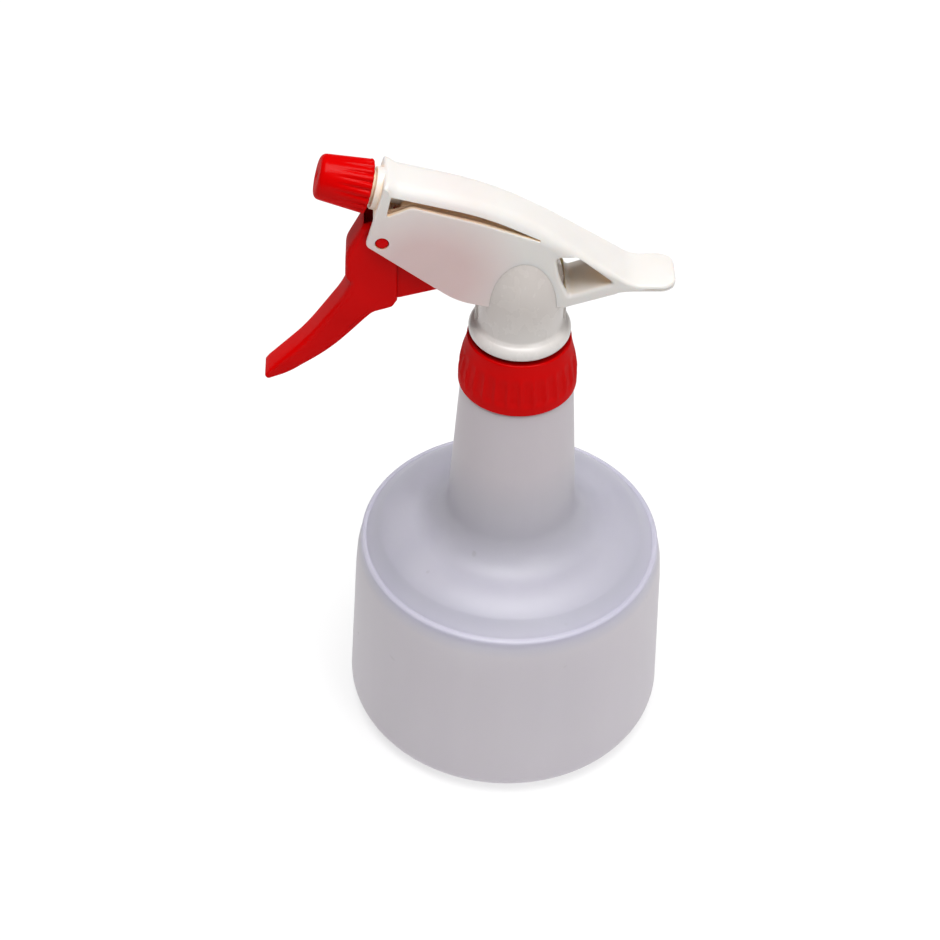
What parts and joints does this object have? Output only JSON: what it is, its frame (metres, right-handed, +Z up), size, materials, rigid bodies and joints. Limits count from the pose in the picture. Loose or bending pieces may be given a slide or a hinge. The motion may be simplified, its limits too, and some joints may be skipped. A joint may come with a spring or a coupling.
{
  "type": "trigger spray bottle",
  "caption": "Squat translucent bottle with a long neck, red screw collar and a trigger pump head: squeezing the trigger sprays through a twist nozzle.",
  "frame": {"origin": "centre of the bottle's flat base, on the bottle's axis", "axes": "+Z up along the bottle's axis; the nozzle points to -X and the head's tail to +X; the head is symmetric about Y = 0"},
  "size_m": [0.1178, 0.095, 0.2004],
  "materials": {
    "natural_bottle": "satin translucent natural polyethylene",
    "red_closure": "semi-gloss moulded",
    "red_nozzle": "semi-gloss moulded",
    "red_trigger": "semi-gloss moulded",
    "cream_shroud": "semi-gloss moulded",
    "white_body": "semi-gloss moulded",
    "clear_plastic": "natural unpigmented",
    "seal_rubber": "matte",
    "spring_steel": "drawn stainless"
  },
  "bodies": {
    "bottle": {"bottle": "natural_bottle"},
    "head": {"pump_body": "white_body", "shroud": "cream_shroud", "closure_gasket": "seal_rubber", "pump_cylinder": "white_body", "valve_housing": "clear_plastic", "ball_retainer": "clear_plastic", "dip_tube": "clear_plastic", "nozzle_base": "cream_shroud", "outlet_valve": "seal_rubber", "nozzle_seal": "seal_rubber", "spinner": "white_body"},
    "collar": {"screw_collar": "red_closure"},
    "trigger": {"trigger": "red_trigger"},
    "piston": {"piston": "clear_plastic", "piston_cup": "seal_rubber", "vent_seal": "seal_rubber", "return_spring": "spring_steel"},
    "ball": {"inlet_ball": "spring_steel"},
    "cap": {"nozzle_cap": "red_nozzle"}
  },
  "joints": [
    {"name": "head_rise", "type": "slide", "parent": "bottle", "child": "head", "axis": [0, 0, 1], "range_m": [0, 0.007]},
    {"name": "collar_unscrew", "type": "hinge", "parent": "head", "child": "collar", "pos_m": [0, 0, 0.133], "axis": [0, 0, 1], "range_deg": [0, 540]},
    {"name": "trigger_squeeze", "type": "hinge", "parent": "head", "child": "trigger", "pos_m": [-0.0378, 0, 0.1781], "axis": [0, -1, 0], "range_deg": [0, 22], "stiffness_Nm_per_rad": 0.45, "springref_deg": -20.05},
    {"name": "piston_stroke", "type": "slide", "parent": "head", "child": "piston", "axis": [1, 0, 0], "range_m": [0, 0.0057], "deforming": ["return_spring"]},
    {"name": "ball_lift", "type": "slide", "parent": "head", "child": "ball", "axis": [0, 0, 1], "range_m": [0, 0.0012]},
    {"name": "nozzle_twist", "type": "hinge", "parent": "head", "child": "cap", "pos_m": [-0.0403, 0, 0.191], "axis": [-0.9677, 0, 0.2521], "range_deg": [0, 360]}
  ],
  "couplings": [
    {"joint": "head_rise", "follows": "collar_unscrew", "m_per_rad": 0.00067376},
    {"joint": "piston_stroke", "follows": "trigger_squeeze", "m_per_rad": 0.01472}
  ]
}
